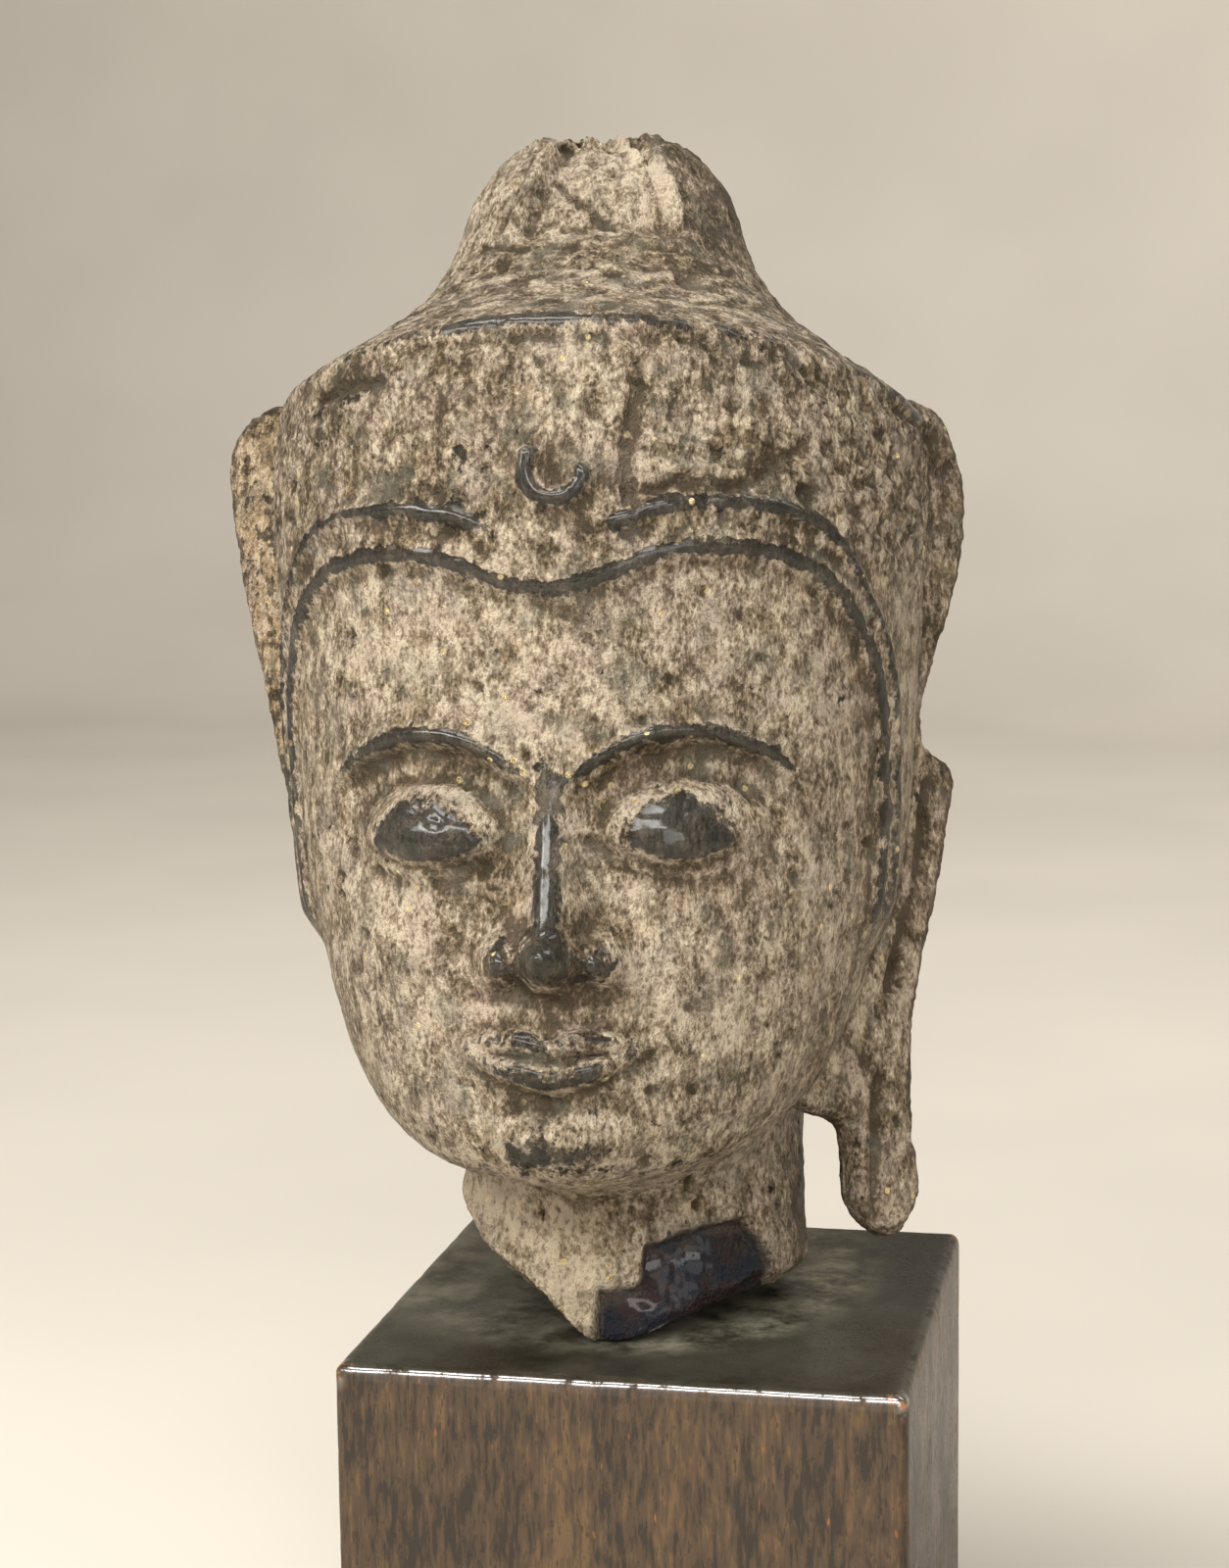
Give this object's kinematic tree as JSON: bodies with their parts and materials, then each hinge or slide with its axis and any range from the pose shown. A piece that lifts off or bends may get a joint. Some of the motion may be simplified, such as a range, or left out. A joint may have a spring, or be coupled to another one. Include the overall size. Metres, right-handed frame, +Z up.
{
  "type": "bronze buddha head",
  "caption": "Cast bronze head of the Buddha, broken off at the neck, with crown band, broken topknot and one long ear lobe, standing on a square dark wooden block.",
  "frame": {"origin": "centre of the block's underside", "axes": "+Z up, -Y the way the face looks, +X towards the head's own left"},
  "size_m": [0.0705, 0.0746, 0.157],
  "materials": {
    "bronze": "aged bronze with an earthy crust, rubbed dark and glossy on its high points",
    "dark_wood": "dark brown stain, semi-gloss"
  },
  "bodies": {
    "root": {"buddha_head": "bronze", "plinth_block": "dark_wood"}
  },
  "joints": []
}
